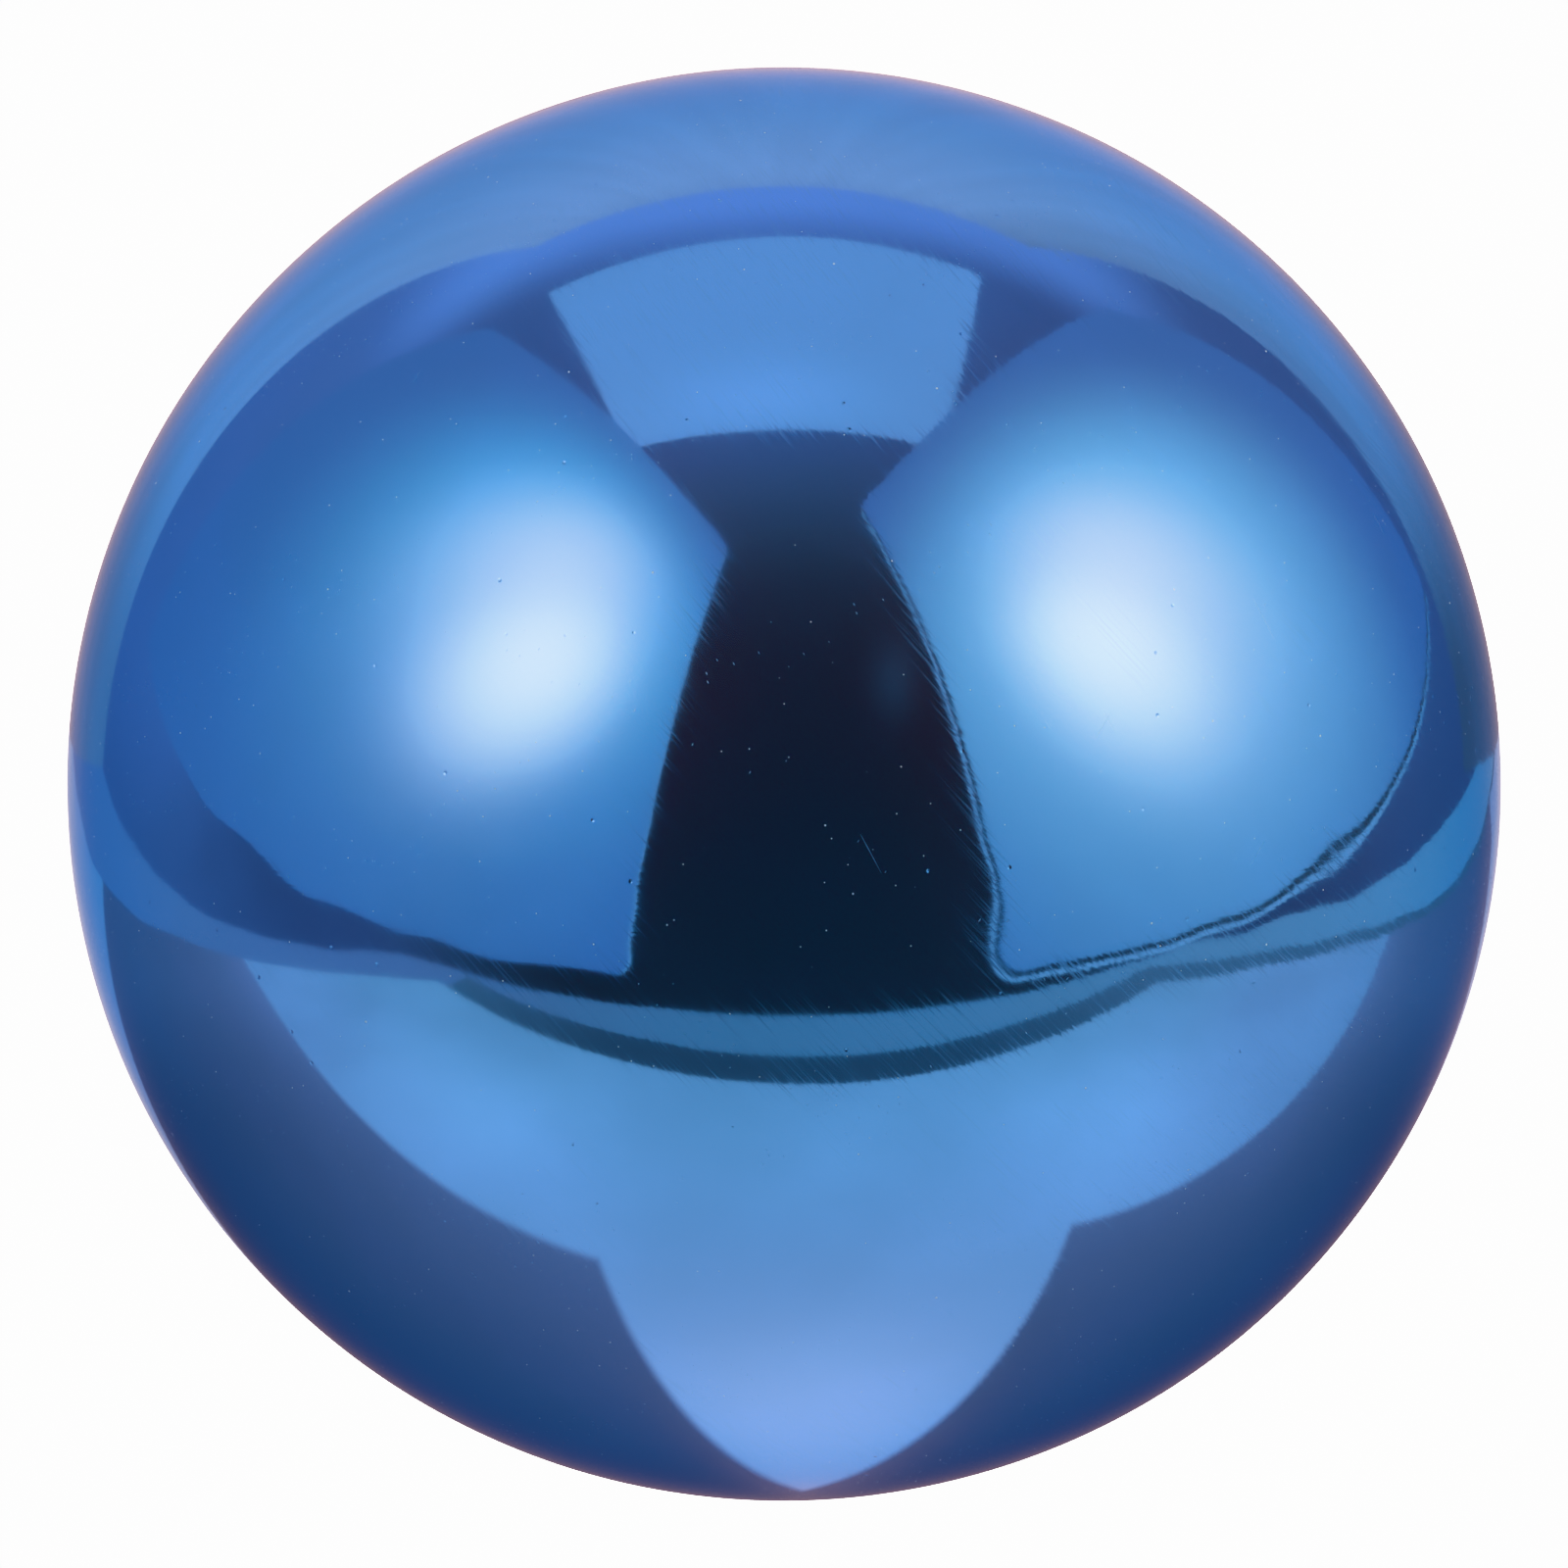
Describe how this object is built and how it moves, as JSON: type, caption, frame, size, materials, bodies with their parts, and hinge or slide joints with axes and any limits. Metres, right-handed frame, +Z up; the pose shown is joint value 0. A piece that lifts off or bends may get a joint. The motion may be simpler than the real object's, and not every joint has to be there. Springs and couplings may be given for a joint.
{
  "type": "garden gazing ball",
  "caption": "Hollow mirror-polished steel garden ball, tinted blue: two pressed half shells joined by a weld ground flush, with a plugged vent at the foot.",
  "frame": {"origin": "centre of the ball, in the plane of the equator weld", "axes": "+Z up, away from the vent at the lower pole; every direction square to it is alike"},
  "size_m": [0.25, 0.25, 0.25],
  "materials": {
    "tinted_mirror_steel": "polished",
    "tinted_weld": "polished",
    "tinted_plug": "polished"
  },
  "bodies": {
    "root": {"upper_half_shell": "tinted_mirror_steel", "lower_half_shell": "tinted_mirror_steel", "equator_weld": "tinted_weld", "vent_plug": "tinted_plug"}
  },
  "joints": []
}
